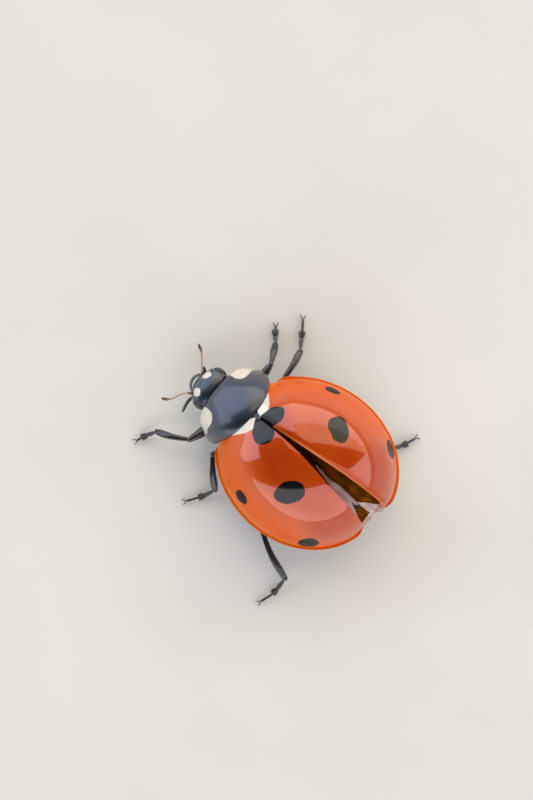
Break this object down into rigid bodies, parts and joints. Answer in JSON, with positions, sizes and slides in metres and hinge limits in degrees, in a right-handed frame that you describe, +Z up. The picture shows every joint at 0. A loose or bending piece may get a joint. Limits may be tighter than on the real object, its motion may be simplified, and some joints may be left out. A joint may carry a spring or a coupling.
{
  "type": "seven-spot ladybird",
  "caption": "Life-size red ladybird beetle with black spots, standing on its feet with its wing cases slightly parted over the folded wings.",
  "frame": {"origin": "on the ground, under the centre of the model's bounding box", "axes": "+Z up, head towards -Y, the animal's left towards +X"},
  "size_m": [0.0086, 0.0084, 0.0039],
  "materials": {
    "black_cuticle": "glossy blue-black insect shell with cream patches on the shield and head",
    "red_cuticle": "smooth glossy orange-red wing case with black spots",
    "tan_cuticle": "semi-gloss translucent tan, darker at the club",
    "wing_membrane": "thin smoky brown folded membrane",
    "eye_lens": "glossy black faceted eye"
  },
  "bodies": {
    "root": {"head": "black_cuticle", "labrum": "black_cuticle", "eye_left": "eye_lens", "eye_right": "eye_lens", "antenna_left": "tan_cuticle", "antenna_right": "tan_cuticle", "palp_left": "black_cuticle", "palp_right": "black_cuticle", "pronotum": "black_cuticle", "prothorax": "black_cuticle", "scutellum": "black_cuticle", "elytron_left": "red_cuticle", "elytron_right": "red_cuticle", "hindwing_left": "wing_membrane", "hindwing_right": "wing_membrane", "thorax": "black_cuticle", "abdomen": "black_cuticle", "fore_left_femur": "black_cuticle", "fore_left_tibia": "black_cuticle", "fore_left_tarsus": "black_cuticle", "fore_right_femur": "black_cuticle", "fore_right_tibia": "black_cuticle", "fore_right_tarsus": "black_cuticle", "mid_left_femur": "black_cuticle", "mid_left_tibia": "black_cuticle", "mid_left_tarsus": "black_cuticle", "mid_right_femur": "black_cuticle", "mid_right_tibia": "black_cuticle", "mid_right_tarsus": "black_cuticle", "hind_left_femur": "black_cuticle", "hind_left_tibia": "black_cuticle", "hind_left_tarsus": "black_cuticle", "hind_right_femur": "black_cuticle", "hind_right_tibia": "black_cuticle", "hind_right_tarsus": "black_cuticle"}
  },
  "joints": []
}
